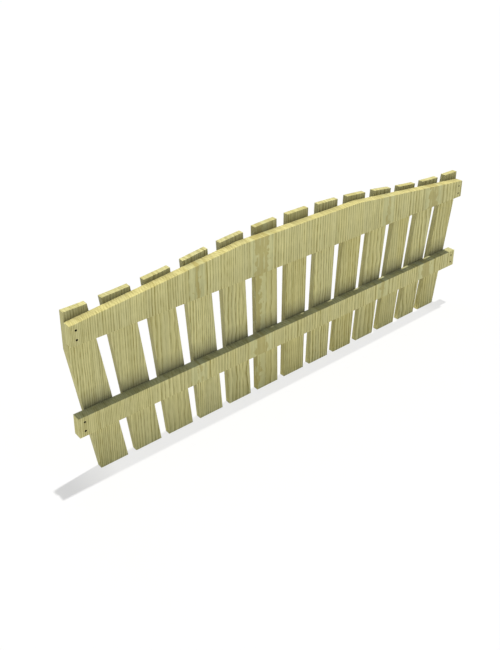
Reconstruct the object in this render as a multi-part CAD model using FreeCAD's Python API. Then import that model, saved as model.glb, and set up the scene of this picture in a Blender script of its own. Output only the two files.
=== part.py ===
import FreeCAD, Part
import math
import os

# A low timber fence panel: thirteen flat pickets fanned out behind two rails.
# X runs along the panel, Y from the post side of the rails to the back of the pickets, Z is up.
# The origin is on the post side of the bottom rail, midway between its two left fixing holes.
# Sizes are in millimetres and angles in degrees.

# Rails
rail_length = 1800.0
rail_thickness = 33.0
bottom_rail_height = 70.0
top_rail_end_height = 69.0
top_rail_middle_height = 134.0
top_rail_level_length = 546.0
space_between_rails = 248.0

# Pickets
picket_count = 13
picket_width = 97.5
picket_thickness = 21.0
end_foot_from_rail_end = 126.0
picket_fan_angle = 1.56
picket_foot_below_rail = 175.0
picket_above_rail_at_ends = 32.0
picket_above_rail_at_middle = 32.5
crown_middle_arc_half = 467.0

# Fixing holes at the rail ends
hole_diameter = 7.0
hole_spacing = 32.0
hole_from_end = 20.0

# Countersinks in the pickets' backs, a level pair wherever a picket crosses a rail
screw_spacing = 50.0
screw_seat_width = 9.0
screw_seat_floor_width = 4.0
screw_seat_depth = 2.5

# Every sawn arris is eased
eased_arris = 0.8

# Extra length on cutting shapes, so that they pass right through
overrun = 50.0

# Places that follow from the sizes
left_end = -hole_from_end
right_end = left_end + rail_length
middle = left_end + rail_length / 2
picket_spacing_at_foot = (rail_length - 2 * end_foot_from_rail_end) / (picket_count - 1)
bottom_rail_under = -bottom_rail_height / 2
bottom_rail_top = bottom_rail_under + bottom_rail_height
top_rail_under = bottom_rail_top + space_between_rails
top_rail_end_top = top_rail_under + top_rail_end_height
top_rail_middle_top = top_rail_under + top_rail_middle_height
foot = bottom_rail_under - picket_foot_below_rail
crown_end = top_rail_end_top + picket_above_rail_at_ends
crown_middle = top_rail_middle_top + picket_above_rail_at_middle
bottom_hole_middle = (bottom_rail_under + bottom_rail_top) / 2
top_hole_middle = (top_rail_under + top_rail_end_top) / 2


def board_from_outline(edges, y_start, thickness):
    """A board whose outline lies in the XZ plane, with thickness along +Y."""
    face = Part.Face(Part.Wire(edges))
    face.translate(FreeCAD.Vector(0, y_start, 0))
    return face.extrude(FreeCAD.Vector(0, thickness, 0))


def outline_from_points(points):
    """Straight edges through the (x, z) points, closed back to the first."""
    corners = [FreeCAD.Vector(x, 0, z) for x, z in points]
    return [Part.makeLine(a, b) for a, b in zip(corners, corners[1:] + corners[:1])]


def ease_arrises(board):
    """Round every arris of a board by the same small radius."""
    return board.makeFillet(eased_arris, board.Edges)


def fixing_holes(end_x, hole_middle_z):
    """Two drills, one above the other, through a rail end and any picket behind it."""
    drills = []
    for side in (-1, 1):
        start = FreeCAD.Vector(end_x, -overrun, hole_middle_z + side * hole_spacing / 2)
        length = rail_thickness + picket_thickness + 2 * overrun
        drills.append(Part.makeCylinder(hole_diameter / 2, length, start, FreeCAD.Vector(0, 1, 0)))
    return drills


def all_fixing_holes():
    """The four pairs of drills, at both ends of both rails."""
    drills = []
    for hole_middle_z in (bottom_hole_middle, top_hole_middle):
        for end_x in (left_end + hole_from_end, right_end - hole_from_end):
            drills.extend(fixing_holes(end_x, hole_middle_z))
    return drills


def make_bottom_rail():
    """A straight rail of one height."""
    outline = outline_from_points([
        (left_end, bottom_rail_under),
        (right_end, bottom_rail_under),
        (right_end, bottom_rail_top),
        (left_end, bottom_rail_top),
    ])
    return ease_arrises(board_from_outline(outline, 0, rail_thickness))


def make_top_rail():
    """A rail that is straight below and rises on top to a level middle stretch."""
    level_half = top_rail_level_length / 2
    outline = outline_from_points([
        (left_end, top_rail_under),
        (right_end, top_rail_under),
        (right_end, top_rail_end_top),
        (middle + level_half, top_rail_middle_top),
        (middle - level_half, top_rail_middle_top),
        (left_end, top_rail_end_top),
    ])
    return ease_arrises(board_from_outline(outline, 0, rail_thickness))


def crown_arcs():
    """Three tangent arcs from end to end: hollow, round over the middle, hollow."""
    half_length = rail_length / 2
    turn = 2 * math.atan2(crown_middle - crown_end, half_length)
    middle_radius = crown_middle_arc_half / math.sin(turn)
    end_radius = (half_length - crown_middle_arc_half) / math.sin(turn)
    middle_centre_z = crown_middle - middle_radius
    end_centre_z = crown_end + end_radius
    meet_z = middle_centre_z + middle_radius * math.cos(turn)

    def at(x, z):
        return FreeCAD.Vector(x, 0, z)

    half_turn = turn / 2
    hollow_x = end_radius * math.sin(half_turn)
    hollow_z = end_centre_z - end_radius * math.cos(half_turn)
    left_meet = at(middle - crown_middle_arc_half, meet_z)
    right_meet = at(middle + crown_middle_arc_half, meet_z)
    left_hollow = Part.Arc(at(left_end, crown_end), at(left_end + hollow_x, hollow_z), left_meet)
    round_middle = Part.Arc(left_meet, at(middle, crown_middle), right_meet)
    right_hollow = Part.Arc(right_meet, at(right_end - hollow_x, hollow_z), at(right_end, crown_end))
    return [arc.toShape() for arc in (left_hollow, round_middle, right_hollow)]


def make_picket_field():
    """The whole area that pickets may fill: level feet, plumb ends and the curved crown."""
    crown = crown_arcs()
    left_top = crown[0].Vertexes[0].Point
    right_top = crown[-1].Vertexes[-1].Point
    left_foot = FreeCAD.Vector(left_end, 0, foot)
    right_foot = FreeCAD.Vector(right_end, 0, foot)
    sides = [
        Part.makeLine(right_top, right_foot),
        Part.makeLine(right_foot, left_foot),
        Part.makeLine(left_foot, left_top),
    ]
    return board_from_outline(crown + sides, rail_thickness, picket_thickness)


def screw_seats(foot_middle, lean):
    """Countersinks in one picket's back, in a level pair over each rail."""
    back = rail_thickness + picket_thickness
    inward = FreeCAD.Vector(0, -1, 0)
    seats = []
    for height in (bottom_hole_middle, top_hole_middle):
        crossing = foot_middle + (height - foot) * math.tan(math.radians(lean))
        for side in (-1, 1):
            place = FreeCAD.Vector(crossing + side * screw_spacing / 2, back, height)
            widths = (screw_seat_width / 2, screw_seat_floor_width / 2)
            seats.append(Part.makeCone(*widths, screw_seat_depth, place, inward))
    return seats


def make_picket(number, field, drills):
    """One picket, leaning out from the middle, trimmed to the field, drilled and countersunk."""
    steps = number - (picket_count + 1) / 2
    lean = steps * picket_fan_angle
    foot_middle = middle + steps * picket_spacing_at_foot
    half = picket_width / 2
    blank = outline_from_points([
        (foot_middle - half, foot - overrun),
        (foot_middle + half, foot - overrun),
        (foot_middle + half, crown_middle + overrun),
        (foot_middle - half, crown_middle + overrun),
    ])
    board = board_from_outline(blank, rail_thickness, picket_thickness)
    pivot = FreeCAD.Vector(foot_middle, 0, foot)
    board.rotate(pivot, FreeCAD.Vector(0, 1, 0), lean)
    picket = ease_arrises(board.common(field).Solids[0])
    return picket.cut(drills + screw_seats(foot_middle, lean)).Solids[0]


def main():
    """Write every piece to its own file."""
    os.makedirs("parts", exist_ok=True)
    drills = all_fixing_holes()
    make_bottom_rail().cut(drills).Solids[0].exportStep("parts/bottom_rail.step")
    make_top_rail().cut(drills).Solids[0].exportStep("parts/top_rail.step")
    field = make_picket_field()
    for number in range(1, picket_count + 1):
        make_picket(number, field, drills).exportStep(f"parts/picket_{number:02d}.step")


main()
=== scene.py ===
import math
import random

import bmesh
import bpy
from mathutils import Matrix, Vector


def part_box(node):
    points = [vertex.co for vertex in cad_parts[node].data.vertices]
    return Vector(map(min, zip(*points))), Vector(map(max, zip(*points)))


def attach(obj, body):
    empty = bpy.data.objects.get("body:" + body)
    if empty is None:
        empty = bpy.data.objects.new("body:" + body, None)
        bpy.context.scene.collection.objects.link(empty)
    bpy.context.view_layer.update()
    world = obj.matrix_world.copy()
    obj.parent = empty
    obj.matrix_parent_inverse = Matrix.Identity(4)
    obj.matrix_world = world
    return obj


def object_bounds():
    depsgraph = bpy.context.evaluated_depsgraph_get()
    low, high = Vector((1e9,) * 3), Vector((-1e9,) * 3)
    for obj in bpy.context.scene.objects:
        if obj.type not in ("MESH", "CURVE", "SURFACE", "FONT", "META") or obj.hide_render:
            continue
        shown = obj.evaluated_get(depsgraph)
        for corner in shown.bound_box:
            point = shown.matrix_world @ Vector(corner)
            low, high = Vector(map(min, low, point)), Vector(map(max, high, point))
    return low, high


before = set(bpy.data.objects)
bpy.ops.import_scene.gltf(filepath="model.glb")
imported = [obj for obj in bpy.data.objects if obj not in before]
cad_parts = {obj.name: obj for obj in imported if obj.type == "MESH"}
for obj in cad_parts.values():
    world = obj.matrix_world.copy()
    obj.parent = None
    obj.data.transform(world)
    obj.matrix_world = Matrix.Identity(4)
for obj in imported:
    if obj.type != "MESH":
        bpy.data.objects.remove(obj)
cad_low, cad_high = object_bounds()

# The photograph's frame, in pixels
PHOTO_WIDTH = 500
PHOTO_HEIGHT = 650
LONG_SIDE = max(PHOTO_WIDTH, PHOTO_HEIGHT)

# The camera: where it stands in metres, where it looks, and where its lens axis meets the picture
CAMERA_PLACE = (-0.8346, -1.7660, 1.5102)
CAMERA_TURN_RIGHT = math.radians(39.427)
CAMERA_TILT_DOWN = math.radians(23.042)
CAMERA_FOCAL_PIXELS = 782.62
CAMERA_SEES_TO = 200.0
LENS_AXIS_X = 245.27
LENS_AXIS_Y = 209.22
SENSOR_WIDTH = 36.0

# The sun stands high, and leans to the right and to the back by these slopes for each unit of height
SUN_SLOPE_RIGHT = 0.148
SUN_SLOPE_BACK = 0.032
SUN_WIDTH = math.radians(1.0)
SUN_STRENGTH = 3.55
SUN_COLOUR = (1.0, 0.96, 0.88)
SUN_DISTANCE = 5.0

# An even sky, and a pale floor that sends light up at the panel
SKY_LIGHT = (0.43, 0.47, 0.55)
FLOOR_HALF_SIZE = 60.0
FLOOR_REFLECTS = 0.95

# The floor as it is seen: how much it reflects, the share of the sky that the panel hides from it,
# and how much more than white its glow reaches
SEEN_FLOOR_REFLECTS = 0.16
SEEN_FLOOR_REFLECTS_AT_ENDS = 0.32
SKY_LOST_UNDER_PANEL = 0.4
SKY_LOST_AT_ENDS = 0.08
GLOW_TO_SPARE = 0.01

# Where along X, in metres, the floor at the panel's ends sets in, and its share at the right one
LEFT_END_SETS_IN = (0.10, -0.06)
RIGHT_END_SETS_IN = (1.62, 1.75)
RIGHT_END_SHARE = 0.4


class Value:
    """A number in a material, so that sums of sockets are written as sums."""

    def __init__(self, surface, socket):
        self.surface = surface
        self.socket = socket

    def __add__(self, other):
        return self.surface.math("ADD", self, other)

    def __radd__(self, other):
        return self.surface.math("ADD", other, self)

    def __sub__(self, other):
        return self.surface.math("SUBTRACT", self, other)

    def __rsub__(self, other):
        return self.surface.math("SUBTRACT", other, self)

    def __mul__(self, other):
        return self.surface.math("MULTIPLY", self, other)

    def __rmul__(self, other):
        return self.surface.math("MULTIPLY", other, self)

    def __truediv__(self, other):
        return self.surface.math("DIVIDE", self, other)

    def __pow__(self, other):
        return self.surface.math("POWER", self, other)


class Surface:
    """A material or world under construction, with one method for every kind of node."""

    def __init__(self, tree):
        self.tree = tree
        tree.nodes.clear()

    def node(self, kind, settings=(), sockets=()):
        """Adds a node, sets its own settings and then the values or links of its sockets."""
        made = self.tree.nodes.new(kind)
        for name, setting in dict(settings).items():
            setattr(made, name, setting)
        for name, value in dict(sockets).items():
            self.feed(made.inputs[name], value)
        return made

    def feed(self, target, value):
        """Links a socket to a value, or sets it where the value is plain."""
        if isinstance(value, Value):
            self.tree.links.new(value.socket, target)
        elif isinstance(value, bpy.types.NodeSocket):
            self.tree.links.new(value, target)
        else:
            target.default_value = value

    def math(self, operation, *values):
        """One step of arithmetic on values, sockets or plain numbers."""
        made = self.node("ShaderNodeMath", {"operation": operation}, dict(enumerate(values)))
        return Value(self, made.outputs[0])

    def limited(self, value, low=0.0, high=1.0):
        """The value brought from low..high to 0..1, and held there."""
        made = self.node("ShaderNodeMapRange", {"clamp": True}, {
            "Value": value,
            "From Min": low,
            "From Max": high,
        })
        return Value(self, made.outputs["Result"])

    def noise(self, place, scale, detail=2.0):
        """Smooth noise about 0.5, by a place that is already stretched."""
        made = self.node("ShaderNodeTexNoise", {"noise_dimensions": "3D"}, {
            "Vector": place,
            "Scale": scale,
            "Detail": detail,
        })
        return Value(self, made.outputs[0])

    def stretched(self, place, factors, offset):
        """The place times the factors, plus the offset."""
        made = self.node("ShaderNodeVectorMath", {"operation": "MULTIPLY_ADD"}, {
            0: place,
            1: factors,
            2: offset,
        })
        return made.outputs[0]

    def mix(self, share, first, second, blend="MIX"):
        """Colours mixed by a share."""
        made = self.node("ShaderNodeMix", {"data_type": "RGBA", "blend_type": blend})
        self.feed(made.inputs[0], share)
        self.feed(made.inputs[6], first)
        self.feed(made.inputs[7], second)
        return made.outputs[2]


def new_material(name):
    """An empty material and the surface that builds its nodes."""
    material = bpy.data.materials.new(name)
    material.use_nodes = True
    return material, Surface(material.node_tree)


def colour(red, green, blue):
    """A colour given by its screen values of 0 to 255, as the linear values that a socket takes."""
    def linear(value):
        share = value / 255
        return share / 12.92 if share <= 0.04045 else ((share + 0.055) / 1.055) ** 2.4

    return (linear(red), linear(green), linear(blue), 1.0)


# Timber colours, by their screen values, and the colours of the shade painted in corners and in the holes
PALE_WOOD = colour(208, 202, 144)
LATE_WOOD = colour(136, 127, 64)
GREY_GREEN = colour(170, 170, 134)
BROWN = colour(178, 165, 88)
FLAME_WOOD = colour(162, 151, 90)
FLAME_EDGE_WOOD = colour(190, 191, 143)
CORNER_PAINTED_SHADE = colour(68, 69, 62)
HOLE_PAINTED_SHADE = colour(22, 18, 8)

# Painted light and shade that multiply the wood's colour: a warm sunlit tint on the top rail's upward
# faces and a cool shaded tint on the bottom rail's, a lighter tint on the rails' sawn ends, and a lighter
# tint on the feet
RAIL_TOP_LIGHT_AND_SHADE = {
    "top_rail": (1.07, 1.04, 0.95, 1.0),
    "bottom_rail": (0.91, 0.95, 1.07, 1.0),
}
PAINTED_END_LIGHT = (1.08, 1.08, 1.05, 1.0)
PAINTED_FOOT_LIGHT = (1.17, 1.17, 1.17, 1.0)

# Shares of the tints that are mixed in
COOL_SHARE = 0.22
BROWN_EVERYWHERE = 0.5
BROWN_IN_PATCHES = 0.35
HALO_SHARE = 0.40
FLAME_SHARE = 0.60

# Flames in the grain: where each one's middle lies and how far it reaches to either side, in metres
RAIL_FLAMES = ((0.423, 0.008), (0.691, 0.027), (1.323, 0.008), (1.595, 0.027))
PICKET_FLAMES = {"picket_06": (0.700, 0.014)}

# Around a flame, in metres outside its edge: the edge itself, a pale halo and a darker rim
FLAME_EDGE = (0.0015, -0.0015)
HALO_EDGE = (0.026, 0.019)
RIM_PLACE = 0.032
RIM_EDGE = (0.008, 0.003)

# How ragged a flame's edge is and how deep the tongues cut into it, in metres, the halo's share of
# the raggedness, and how much the rim adds to the depth of tone
RAGGED_REACH = 0.06
TONGUE_REACH = 0.03
HALO_RAGGEDNESS = 0.3
RIM_DEPTH = 0.14

# The grain of a board: ring pitch and waviness in metres, contrast, share of brown, depth of tone
RAIL_GRAIN = (0.0078, 0.002, 1.10, 0.22, 0.305)
PICKET_GRAIN = (
    (0.0076, 0.002, 1.05, 0.10, 0.39),
    (0.0100, 0.002, 0.82, 0.05, 0.38),
    (0.0170, 0.009, 0.75, 0.15, 0.38),
    (0.0095, 0.003, 1.25, 0.10, 0.39),
    (0.0150, 0.010, 1.05, 0.15, 0.36),
    (0.0180, 0.006, 0.78, 0.35, 0.37),
    (0.0115, 0.003, 1.35, 0.35, 0.39),
    (0.0115, 0.004, 1.60, 0.20, 0.39),
    (0.0130, 0.005, 1.20, 0.35, 0.42),
    (0.0170, 0.010, 1.00, 0.20, 0.37),
    (0.0130, 0.006, 1.05, 0.35, 0.43),
    (0.0190, 0.011, 1.05, 0.15, 0.36),
    (0.0150, 0.006, 1.25, 0.35, 0.42),
)

# How much the rings of the rails widen, in metres of pitch for each metre to the right
RAIL_PITCH_GROWTH = 0.0042

# How far to the right of each picket's middle its rings turn, in metres, and the reach of a flame
# there, which is below nothing so that none shows
PICKET_HEARTS = (-0.22, -0.26, 0.03, -0.07, 0.02, 0.0, -0.12, 0.13, -0.16, 0.05, -0.2, -0.03, 0.18)
PLAIN_HEART = -0.06

# Rings: how near a flame they spread out, in metres, and their slant through the board
RING_SWELL = 0.030
RING_SLANT_ON_FACES = 0.3
RING_SLANT_ON_SIDES = 0.6

# The mean darkness over a ring, which is taken off, how a ring's strength changes from one to the
# next and along the ticks, and how much of the rings is lost
RING_MEAN = 0.33
RING_CHANGE = 0.6
RING_STRENGTHS = (0.34, 0.66)
WEAKEST_RING = 0.5
RING_GAIN = 0.6
WEAKEST_TICK = 0.7
TICK_GAIN = 0.6
RINGS_LOST_IN_HALO = 0.5
RINGS_LOST_ON_EDGES = 0.6

# Noise drawn out along the grain: the scale across a board and the share of it upright, then for
# two of them the share through the board and the detail
WOBBLE = (7.0, 1.8)
FINE_WOBBLE = (60.0, 0.16)
DRIFT = (5.0, 0.02)
RAGGED_EDGE = (60.0, 0.7, 0.1, 2.0)
FIBRES = (900.0, 0.03, 1.0, 1.0)

# Layers of such noise: the scale, the upright share, and the two values that become 0 and 1
TICKS = (250.0, 0.14, 0.3, 0.7)
TONGUES = (110.0, 0.12, 0.60, 0.66)
TONE = (10.0, 0.08, 0.28, 0.72)
BANDS = (40.0, 0.04, 0.3, 0.7)
STREAKS = (140.0, 0.015, 0.3, 0.7)
HAIRS = (300.0, 0.01, 0.3, 0.7)
COOL_PATCHES = (24.0, 0.06, 0.42, 0.7)
WARM_PATCHES = (16.0, 0.10, 0.40, 0.75)

# How far the noise moves the rings: the wobble by this many times a board's waviness, the fine
# wobble and the drift by metres
WOBBLE_REACH = 2.0
FINE_WOBBLE_REACH = 0.003
DRIFT_REACH = 0.10

# Shares of the fine layers in the depth of tone, half their sum, which is taken off, and how much
# of them is lost on a board's sides
BAND_SHARE = 0.15
STREAK_SHARE = 0.28
HAIR_SHARE = 0.34
TICK_SHARE = 0.28
TONE_SHARE = 0.08
FINE_MEAN = 0.565
FINE_LOST_ON_SIDES = 0.4

# Relief and shine of the wood; the bump's depth is in metres
BUMP_STRENGTH = 0.35
BUMP_DEPTH = 0.0004
STREAK_HEIGHT = 0.5
FIBRE_HEIGHT = 0.3
RING_HEIGHT = 0.5
SMOOTHEST = 0.7
FIBRE_ROUGHNESS = 0.2
SHINE = 0.25

# Where a face begins to count as turned one way, by its normal, and where it fully does
TURNED_FROM = 0.6
TURNED_FULLY = 0.9

# The share of the depth in a board that moves the grain across on its sides
SIDE_SHEAR = 0.9

# How far the noise and the rings of one board may be moved from another's
NOISE_SHIFT = 20
RING_SHIFT = 50

# Painted shade in the corners above the bottom rail, which rays tilted downward look for within a reach in
# metres, and a lesser painted shade lower down on the pickets below that rail
CORNER_PAINTED_SHADE_REACH = 0.068
CORNER_PAINTED_SHADE_TILT = (0.0, 0.0, -0.8)
CORNER_PAINTED_SHADE_SAMPLES = 8
CORNER_PAINTED_SHADE_SHARE = 0.76
LOW_PAINTED_SHADE_SHARE = 0.11

# Heights in metres, from where each of these is absent to where it is full
CORNER_PAINTED_SHADE_SETS_IN = (-0.14, -0.02)
LOW_PAINTED_SHADE_SETS_IN = (-0.05, -0.10)
LOW_PAINTED_SHADE_ENDS = (-0.19, -0.16)
PAINTED_FOOT_LIGHT_SETS_IN = (-0.187, -0.200)

# The drilled holes, for the shade painted on their walls
HOLE_HALF_PITCH = 0.016
HOLE_TO_HOLE = 1.76
TOP_HOLES_HEIGHT = 0.3175
HOLE_EDGE = 0.0039
HOLE_INSIDE = 0.0034


def painted_hole_shade(surface, across, height):
    """Painted shade: 1 inside the drilled holes at the rail ends, 0 elsewhere."""
    from_end = surface.math("ABSOLUTE", across - HOLE_TO_HOLE / 2) - HOLE_TO_HOLE / 2
    over_bottom = surface.math("ABSOLUTE", height)
    over_top = surface.math("ABSOLUTE", height - TOP_HOLES_HEIGHT)
    nearer = surface.math("MINIMUM", over_bottom, over_top)
    from_hole = nearer - HOLE_HALF_PITCH
    distance = surface.math("SQRT", from_end ** 2 + from_hole ** 2)
    return surface.limited(distance, HOLE_EDGE, HOLE_INSIDE)


def painted_corner_shade(surface, height):
    """Painted shade: 0 in the open and up to 1 just above a ledge, where the ledge shades the face."""
    facing = surface.node("ShaderNodeNewGeometry").outputs["Normal"]
    downward = surface.node("ShaderNodeVectorMath", {"operation": "ADD"}, {0: facing, 1: CORNER_PAINTED_SHADE_TILT})
    open_share = surface.node("ShaderNodeAmbientOcclusion", {"samples": CORNER_PAINTED_SHADE_SAMPLES}, {
        "Distance": CORNER_PAINTED_SHADE_REACH,
        "Normal": downward.outputs[0],
    })
    closed = 1.0 - Value(surface, open_share.outputs["AO"])
    return closed * surface.limited(height, *CORNER_PAINTED_SHADE_SETS_IN)


def treated_timber(name, seed, flames, grain_kind, pitch_growth=0.0, painted_top_tint=None):
    """Pale green treated softwood with upright grain: rings, streaks, ticks and slow tints."""
    pitch, waviness, contrast, brown_share, mean_depth = grain_kind
    material, surface = new_material(name)
    picks = random.Random(seed)
    shift = tuple(picks.uniform(-NOISE_SHIFT, NOISE_SHIFT) for _ in range(3))
    place = surface.node("ShaderNodeTexCoord").outputs["Object"]
    split = surface.node("ShaderNodeSeparateXYZ", (), {"Vector": place})
    across, through, height = (Value(surface, split.outputs[axis]) for axis in "XYZ")
    normal = surface.node("ShaderNodeNewGeometry").outputs["Normal"]
    facing = surface.node("ShaderNodeSeparateXYZ", (), {"Vector": normal}).outputs
    on_top = surface.limited(facing["Z"], TURNED_FROM, TURNED_FULLY)
    on_side = surface.limited(surface.math("ABSOLUTE", facing["X"]), TURNED_FROM, TURNED_FULLY)
    # On a board's edges the lines lie side by side through its thickness, as they do over its face
    turned = surface.node("ShaderNodeCombineXYZ", (), {
        "X": across + through * on_side * SIDE_SHEAR,
        "Y": through,
        "Z": height,
    }).outputs[0]

    def grain(scale, upright, deep=0.1, detail=1.0):
        """Noise drawn out along the grain, from 0 to 1 about 0.5."""
        stretched = surface.stretched(turned, (1.0, deep, upright), shift)
        return surface.noise(stretched, scale, detail)

    def layer(scale, upright, low, high):
        """Noise drawn out along the grain and spread, so that low..high fills 0..1."""
        return surface.limited(grain(scale, upright), low, high)

    distances = [surface.math("ABSOLUTE", across - middle) - half for middle, half in flames]
    outside = distances[0]
    for distance in distances[1:]:
        outside = surface.math("MINIMUM", outside, distance)
    outside = outside + (grain(*WOBBLE) - 0.5) * waviness * WOBBLE_REACH
    outside = outside + (grain(*FINE_WOBBLE) - 0.5) * FINE_WOBBLE_REACH
    drift = (grain(*DRIFT) - 0.5) * DRIFT_REACH
    spacing = across * pitch_growth + pitch
    slant = through * (on_side * RING_SLANT_ON_SIDES + RING_SLANT_ON_FACES)
    turns = (surface.math("SQRT", outside ** 2.0 + RING_SWELL ** 2) + slant + drift) / spacing
    ring = surface.math("FRACT", turns)
    uneven = surface.node("ShaderNodeTexNoise", {"noise_dimensions": "1D"}, {
        "W": turns * RING_CHANGE + picks.uniform(0, RING_SHIFT),
        "Scale": 1.0,
        "Detail": 1.0,
    })
    strong = surface.limited(Value(surface, uneven.outputs[0]), *RING_STRENGTHS)
    ticks = layer(*TICKS)

    ragged = (grain(*RAGGED_EDGE) - 0.5) * RAGGED_REACH
    tongues = layer(*TONGUES)
    flame = surface.limited(outside + ragged + tongues * TONGUE_REACH, *FLAME_EDGE)
    halo = surface.limited(outside + ragged * HALO_RAGGEDNESS, *HALO_EDGE) * (1.0 - flame)
    rim = surface.limited(surface.math("ABSOLUTE", outside - RIM_PLACE), *RIM_EDGE)
    late = (ring ** 2.0 - RING_MEAN) * (strong * RING_GAIN + WEAKEST_RING)
    late = late * (ticks * TICK_GAIN + WEAKEST_TICK)
    late = late * (1.0 - halo * RINGS_LOST_IN_HALO) * (1.0 - flame)
    late = late * (1.0 - on_top * RINGS_LOST_ON_EDGES) * (1.0 - on_side * RINGS_LOST_ON_EDGES)

    tone = layer(*TONE)
    bands = layer(*BANDS)
    streaks = layer(*STREAKS)
    hairs = layer(*HAIRS)
    fine = bands * BAND_SHARE + streaks * STREAK_SHARE + hairs * HAIR_SHARE + ticks * TICK_SHARE
    fine = fine + tone * TONE_SHARE - FINE_MEAN
    lines = late + fine * (1.0 - on_side * FINE_LOST_ON_SIDES)
    depth = lines * contrast + rim * RIM_DEPTH + mean_depth
    wood = surface.mix(surface.limited(depth), PALE_WOOD, LATE_WOOD)
    cool = layer(*COOL_PATCHES)
    warm = layer(*WARM_PATCHES)
    wood = surface.mix(cool * COOL_SHARE, wood, GREY_GREEN)
    wood = surface.mix((warm * BROWN_IN_PATCHES + BROWN_EVERYWHERE) * brown_share, wood, BROWN)
    wood = surface.mix(halo * HALO_SHARE, wood, FLAME_EDGE_WOOD)
    wood = surface.mix(flame * FLAME_SHARE, wood, FLAME_WOOD)
    # Painted light and shade: a sunlit or a shaded tint on the rails' upward faces
    if painted_top_tint:
        wood = surface.mix(on_top, wood, painted_top_tint, "MULTIPLY")
        # Painted light: the rails' sawn ends made lighter
        wood = surface.mix(on_side, wood, PAINTED_END_LIGHT, "MULTIPLY")
    # Painted light: the feet are made paler on every side but the back, lifting the shade near the floor
    foot = surface.limited(height, *PAINTED_FOOT_LIGHT_SETS_IN)
    foot = foot * surface.limited(facing["Y"], TURNED_FULLY, TURNED_FROM)
    wood = surface.mix(foot, wood, PAINTED_FOOT_LIGHT, "MULTIPLY")
    # Painted shade lower down on the pickets, below the bottom rail
    low = surface.limited(height, *LOW_PAINTED_SHADE_SETS_IN) * surface.limited(height, *LOW_PAINTED_SHADE_ENDS)
    # Painted shade in the corners above the bottom rail, mixed toward a dark colour
    painted_shade = painted_corner_shade(surface, height) * CORNER_PAINTED_SHADE_SHARE + low * LOW_PAINTED_SHADE_SHARE
    shaded = surface.mix(surface.limited(painted_shade), wood, CORNER_PAINTED_SHADE)
    # Painted shade inside the drilled holes
    finished = surface.mix(painted_hole_shade(surface, across, height), shaded, HOLE_PAINTED_SHADE)

    fibres = grain(*FIBRES)
    bump = surface.node("ShaderNodeBump", (), {
        "Strength": BUMP_STRENGTH,
        "Distance": BUMP_DEPTH,
        "Height": streaks * STREAK_HEIGHT + fibres * FIBRE_HEIGHT - late * RING_HEIGHT,
    })
    shader = surface.node("ShaderNodeBsdfPrincipled", (), {
        "Base Color": finished,
        "Roughness": fibres * FIBRE_ROUGHNESS + SMOOTHEST,
        "Normal": bump.outputs[0],
        "Specular IOR Level": SHINE,
    })
    surface.node("ShaderNodeOutputMaterial", (), {"Surface": shader.outputs[0]})
    return material


def dress_boards():
    """Every board keeps its own shape and gets timber of its own."""
    for number, node in enumerate(sorted(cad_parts)):
        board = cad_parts[node]
        name = f"timber_{node}"
        if node in RAIL_TOP_LIGHT_AND_SHADE:
            rail_kind = (RAIL_FLAMES, RAIL_GRAIN, RAIL_PITCH_GROWTH, RAIL_TOP_LIGHT_AND_SHADE[node])
            timber = treated_timber(name, number + 1, *rail_kind)
        else:
            low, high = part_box(node)
            place = int(node[-2:]) - 1
            plain = ((low[0] + high[0]) / 2 + PICKET_HEARTS[place], PLAIN_HEART)
            flame = PICKET_FLAMES.get(node, plain)
            timber = treated_timber(name, number + 1, (flame,), PICKET_GRAIN[place])
        for slot in board.material_slots:
            slot.material = timber


# Screws in the countersinks at the pickets' backs: a level pair over each rail
PICKET_COUNT = 13
PANEL_MIDDLE = 0.88
PICKET_SPACING = 0.129
PICKET_FAN_ANGLE = math.radians(1.56)
SCREW_HEIGHTS = (0.0, TOP_HOLES_HEIGHT)
SCREW_SPACING = 0.050
SCREW_TURNS_SEED = 52

# A screw head in metres: the sunk flat top, its eased edge, the cone below it and the cross recess
SCREW_HEAD_RADIUS = 0.0036
SCREW_HEAD_DEPTH = 0.0008
HEAD_FLAT_SHARE = 0.93
HEAD_EDGE_DROP = 0.0001
HEAD_BOTTOM_SHARE = 0.6
HEAD_BOTTOM_DEPTH = 0.0022
CROSS_ARM = 0.0018
CROSS_NECK = 0.0007
CROSS_ARM_HALF_ANGLE = math.radians(17)
CROSS_BOTTOM_SHARE = 0.7
HEAD_SIDES = 24

# Zinc colours, by their screen values, and the colour of the shade painted in the recess
PALE_ZINC = colour(178, 173, 150)
DULL_ZINC = colour(148, 141, 114)
RECESS_PAINTED_SHADE = colour(52, 48, 38)

# The zinc's mottle and shine, and the shade painted in the recess, which sets in by depth in metres
MOTTLE_SCALE = 900.0
MOTTLE_SPREAD = (0.35, 0.65)
MOTTLE_ROUGHNESS = 0.2
ZINC_ROUGHNESS = 0.38
ZINC_METAL = 0.9
RECESS_PAINTED_SHADE_SHARE = 0.7
RECESS_PAINTED_SHADE_SETS_IN = (0.0012, 0.0018)


def screw_places():
    """The middles of the screw heads, on the plane of the pickets' backs."""
    places = []
    for number in range(1, PICKET_COUNT + 1):
        steps = number - (PICKET_COUNT + 1) / 2
        lean = math.tan(steps * PICKET_FAN_ANGLE)
        for height in SCREW_HEIGHTS:
            crossing = PANEL_MIDDLE + steps * PICKET_SPACING + (height - cad_low.z) * lean
            for side in (-1, 1):
                places.append(Vector((crossing + side * SCREW_SPACING / 2, cad_high.y, height)))
    return places


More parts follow.
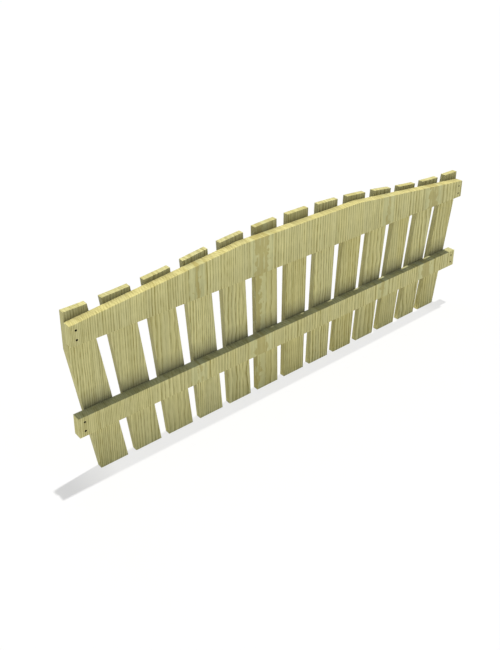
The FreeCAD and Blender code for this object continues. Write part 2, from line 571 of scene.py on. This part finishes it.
def add_screw_head(shape, place, turn):
    """One countersunk head with a cross recess, sunk a little below the timber."""
    def cross(angle):
        """The recess reaches furthest along its four arms."""
        from_arm = abs((angle + math.pi / 4) % (math.pi / 2) - math.pi / 4)
        return CROSS_ARM if from_arm < CROSS_ARM_HALF_ANGLE else CROSS_NECK

    rings = (
        (lambda angle: cross(angle) * CROSS_BOTTOM_SHARE, HEAD_BOTTOM_DEPTH),
        (cross, SCREW_HEAD_DEPTH),
        (lambda angle: SCREW_HEAD_RADIUS * HEAD_FLAT_SHARE, SCREW_HEAD_DEPTH),
        (lambda angle: SCREW_HEAD_RADIUS, SCREW_HEAD_DEPTH + HEAD_EDGE_DROP),
        (lambda angle: SCREW_HEAD_RADIUS * HEAD_BOTTOM_SHARE, HEAD_BOTTOM_DEPTH),
    )
    loops = []
    for reach, depth in rings:
        loop = []
        for side in range(HEAD_SIDES):
            angle = side / HEAD_SIDES * math.tau
            radius = reach(angle)
            offset = Vector((radius * math.cos(angle + turn), -depth, radius * math.sin(angle + turn)))
            loop.append(shape.verts.new(place + offset))
        loops.append(loop)
    for inner, outer in zip(loops, loops[1:]):
        for side in range(HEAD_SIDES):
            after = (side + 1) % HEAD_SIDES
            shape.faces.new((inner[side], inner[after], outer[after], outer[side]))
    shape.faces.new(loops[0][::-1])


def zinc_plate():
    """Dull zinc on the screw heads, darker where it is mottled, with shade painted in the recess."""
    material, surface = new_material("zinc_plate")
    place = surface.node("ShaderNodeTexCoord").outputs["Object"]
    through = Value(surface, surface.node("ShaderNodeSeparateXYZ", (), {"Vector": place}).outputs["Y"])
    mottle = surface.limited(surface.noise(place, MOTTLE_SCALE), *MOTTLE_SPREAD)
    # Painted shade in the cross recess, darker with depth
    recess = surface.limited(through, *(cad_high.y - depth for depth in RECESS_PAINTED_SHADE_SETS_IN))
    plate = surface.mix(mottle, PALE_ZINC, DULL_ZINC)
    plate = surface.mix(recess * RECESS_PAINTED_SHADE_SHARE, plate, RECESS_PAINTED_SHADE)
    shader = surface.node("ShaderNodeBsdfPrincipled", (), {
        "Base Color": plate,
        "Metallic": ZINC_METAL,
        "Roughness": mottle * MOTTLE_ROUGHNESS + ZINC_ROUGHNESS,
    })
    surface.node("ShaderNodeOutputMaterial", (), {"Surface": shader.outputs[0]})
    return material


def make_screws():
    """All the screw heads, as one piece."""
    picks = random.Random(SCREW_TURNS_SEED)
    shape = bmesh.new()
    for place in screw_places():
        add_screw_head(shape, place, picks.uniform(0, math.pi / 2))
    bmesh.ops.recalc_face_normals(shape, faces=shape.faces)
    mesh = bpy.data.meshes.new("screw_heads")
    shape.to_mesh(mesh)
    shape.free()
    mesh.materials.append(zinc_plate())
    heads = bpy.data.objects.new("screw_heads", mesh)
    bpy.context.collection.objects.link(heads)
    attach(heads, "root")


def seen_directly(surface):
    """1 where the surroundings are seen, straight on or in a reflection, and 0 where they light."""
    rays = surface.node("ShaderNodeLightPath")
    seen = surface.math("MAXIMUM", rays.outputs["Is Camera Ray"], rays.outputs["Is Glossy Ray"])
    return surface.math("MAXIMUM", seen, rays.outputs["Is Transmission Ray"])


def lit_white(surface, reflects, sky_lost):
    """A matt floor with just enough glow that it is pure white in the sun and neutral in shadow."""
    fall = math.cos(math.atan(math.hypot(SUN_SLOPE_RIGHT, SUN_SLOPE_BACK)))
    sun = [SUN_STRENGTH / math.pi * fall * shade for shade in SUN_COLOUR]
    lost = [direct + sky_lost * sky for direct, sky in zip(sun, SKY_LIGHT)]
    even = [reflects * lost[0] / light for light in lost]
    full = 1.0 + GLOW_TO_SPARE
    missing = [full - share * (direct + sky) for share, direct, sky in zip(even, sun, SKY_LIGHT)]
    matt = surface.node("ShaderNodeBsdfDiffuse", (), {"Color": (*even, 1.0)})
    glow = surface.node("ShaderNodeEmission", (), {"Color": (*missing, 1.0), "Strength": 1.0})
    return surface.node("ShaderNodeAddShader", (), {0: matt.outputs[0], 1: glow.outputs[0]})


def make_floor():
    """A white floor at the pickets' feet, which keeps the panel's shadow."""
    mesh = bpy.data.meshes.new("floor")
    size = FLOOR_HALF_SIZE
    height = cad_low.z
    corners = [(-size, -size, height), (size, -size, height), (size, size, height), (-size, size, height)]
    mesh.from_pydata(corners, [], [(0, 1, 2, 3)])
    floor = bpy.data.objects.new("floor", mesh)
    bpy.context.collection.objects.link(floor)
    material, surface = new_material("floor_white")
    seen = seen_directly(surface)
    matt = surface.node("ShaderNodeBsdfDiffuse", (), {"Color": (FLOOR_REFLECTS,) * 3 + (1.0,)})
    under = lit_white(surface, SEEN_FLOOR_REFLECTS, SKY_LOST_UNDER_PANEL)
    beyond = lit_white(surface, SEEN_FLOOR_REFLECTS_AT_ENDS, SKY_LOST_AT_ENDS)
    place = surface.node("ShaderNodeTexCoord").outputs["Object"]
    along = Value(surface, surface.node("ShaderNodeSeparateXYZ", (), {"Vector": place}).outputs["X"])
    left_end = surface.limited(along, *LEFT_END_SETS_IN)
    ends = left_end + surface.limited(along, *RIGHT_END_SETS_IN) * RIGHT_END_SHARE
    shown = surface.node("ShaderNodeMixShader", (), {0: ends, 1: under.outputs[0], 2: beyond.outputs[0]})
    both = surface.node("ShaderNodeMixShader", (), {0: seen, 1: matt.outputs[0], 2: shown.outputs[0]})
    surface.node("ShaderNodeOutputMaterial", (), {"Surface": both.outputs[0]})
    mesh.materials.append(material)


def light_world():
    """An even sky for the panel, which the camera and reflections see as white."""
    world = bpy.data.worlds.new("sky")
    world.use_nodes = True
    bpy.context.scene.world = world
    surface = Surface(world.node_tree)
    shade = surface.mix(seen_directly(surface), SKY_LIGHT + (1.0,), (1.0, 1.0, 1.0, 1.0))
    sky = surface.node("ShaderNodeBackground", (), {"Color": shade, "Strength": 1.0})
    surface.node("ShaderNodeOutputWorld", (), {"Surface": sky.outputs[0]})


def add_sun():
    """The one lamp: a high sun whose rays lean as the slopes say."""
    lamp = bpy.data.lights.new("high_sun", "SUN")
    lamp.energy = SUN_STRENGTH
    lamp.color = SUN_COLOUR
    lamp.angle = SUN_WIDTH
    holder = bpy.data.objects.new("high_sun", lamp)
    towards_sun = Vector((SUN_SLOPE_RIGHT, SUN_SLOPE_BACK, 1.0))
    holder.rotation_euler = towards_sun.to_track_quat("Z", "Y").to_euler()
    holder.location = towards_sun * SUN_DISTANCE
    bpy.context.collection.objects.link(holder)


def add_camera():
    """The camera at the photograph's viewpoint, with only the shift that its framing needs."""
    data = bpy.data.cameras.new("camera")
    data.sensor_fit = "AUTO"
    data.sensor_width = SENSOR_WIDTH
    data.lens = CAMERA_FOCAL_PIXELS * SENSOR_WIDTH / LONG_SIDE
    data.shift_x = (PHOTO_WIDTH / 2 - LENS_AXIS_X) / LONG_SIDE
    data.shift_y = (LENS_AXIS_Y - PHOTO_HEIGHT / 2) / LONG_SIDE
    data.clip_end = CAMERA_SEES_TO
    camera = bpy.data.objects.new("camera", data)
    camera.location = CAMERA_PLACE
    camera.rotation_euler = (math.pi / 2 - CAMERA_TILT_DOWN, 0.0, -CAMERA_TURN_RIGHT)
    bpy.context.collection.objects.link(camera)
    bpy.context.scene.camera = camera


bpy.context.scene.view_settings.view_transform = "Standard"
dress_boards()
make_screws()
make_floor()
light_world()
add_sun()
add_camera()
